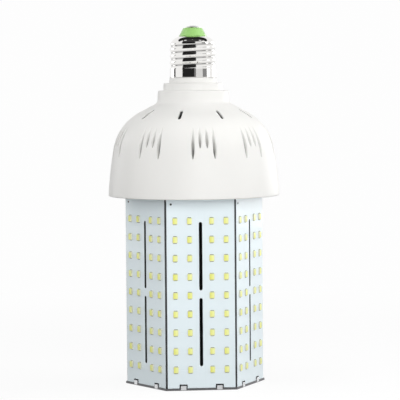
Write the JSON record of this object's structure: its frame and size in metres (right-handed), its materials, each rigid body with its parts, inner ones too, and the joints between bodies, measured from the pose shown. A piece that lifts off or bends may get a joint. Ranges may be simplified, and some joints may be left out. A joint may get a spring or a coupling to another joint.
{
  "type": "corn led bulb",
  "caption": "Corn LED bulb: screw cap, white vented dome with a cooling fan inside, and a six-sided body of LED boards closed by an end plate.",
  "frame": {"origin": "middle of the end plate's underside, on which the bulb stands", "axes": "+Z along the bulb's axis towards the screw cap; -Y is the outward normal of led_panel_1"},
  "size_m": [0.096, 0.096, 0.2006],
  "materials": {
    "nickel_shell": "bright nickel plate",
    "green_insulator": "moulded, satin gloss",
    "solder_contact": "tinned",
    "white_plastic": "fine moulded texture",
    "white_board": "white solder mask on aluminium",
    "led_package": "yellow phosphor in a white cup",
    "end_metal": "plain sheet with a dark cut edge",
    "zinc_screw": "zinc plated",
    "black_plastic": "moulded, satin",
    "copper_winding": "enamelled copper",
    "brass_spacer": "turned",
    "green_board": "solder mask on glass laminate",
    "ferrite": "ground ferrite",
    "yellow_tape": "polyester tape",
    "capacitor_sleeve": "shrink sleeve",
    "film_case": "dipped case",
    "brown_lead": "soft insulation",
    "blue_lead": "soft insulation",
    "red_lead": "soft insulation",
    "black_lead": "soft insulation"
  },
  "bodies": {
    "lamp": {"screw_shell": "nickel_shell", "cap_insulator": "green_insulator", "centre_contact": "solder_contact", "dome_housing": "white_plastic", "end_plate": "end_metal", "carrier_plate": "white_plastic", "carrier_screws": "zinc_screw", "fan_frame": "black_plastic", "fan_stator": "copper_winding", "board_spacers": "brass_spacer", "driver_board": "green_board", "driver_screws": "zinc_screw", "transformer_core": "ferrite", "transformer_winding": "yellow_tape", "input_capacitor": "capacitor_sleeve", "output_capacitor": "capacitor_sleeve", "rectifier": "black_plastic", "choke_coil": "copper_winding", "film_capacitor": "film_case", "line_lead": "brown_lead", "neutral_lead": "blue_lead", "led_leads": "red_lead", "fan_lead": "black_lead", "led_panel_1": "white_board", "led_panel_2": "white_board", "led_panel_3": "white_board", "led_panel_4": "white_board", "led_panel_5": "white_board", "led_panel_6": "white_board", "led_packages_1": "led_package", "led_packages_2": "led_package", "led_packages_3": "led_package", "led_packages_4": "led_package", "led_packages_5": "led_package", "led_packages_6": "led_package"},
    "fan": {"fan_rotor": "black_plastic"}
  },
  "joints": [
    {"name": "fan_spin", "type": "hinge", "parent": "lamp", "child": "fan", "pos_m": [0, 0, 0.118], "axis": [0, 0, 1], "continuous": true}
  ]
}
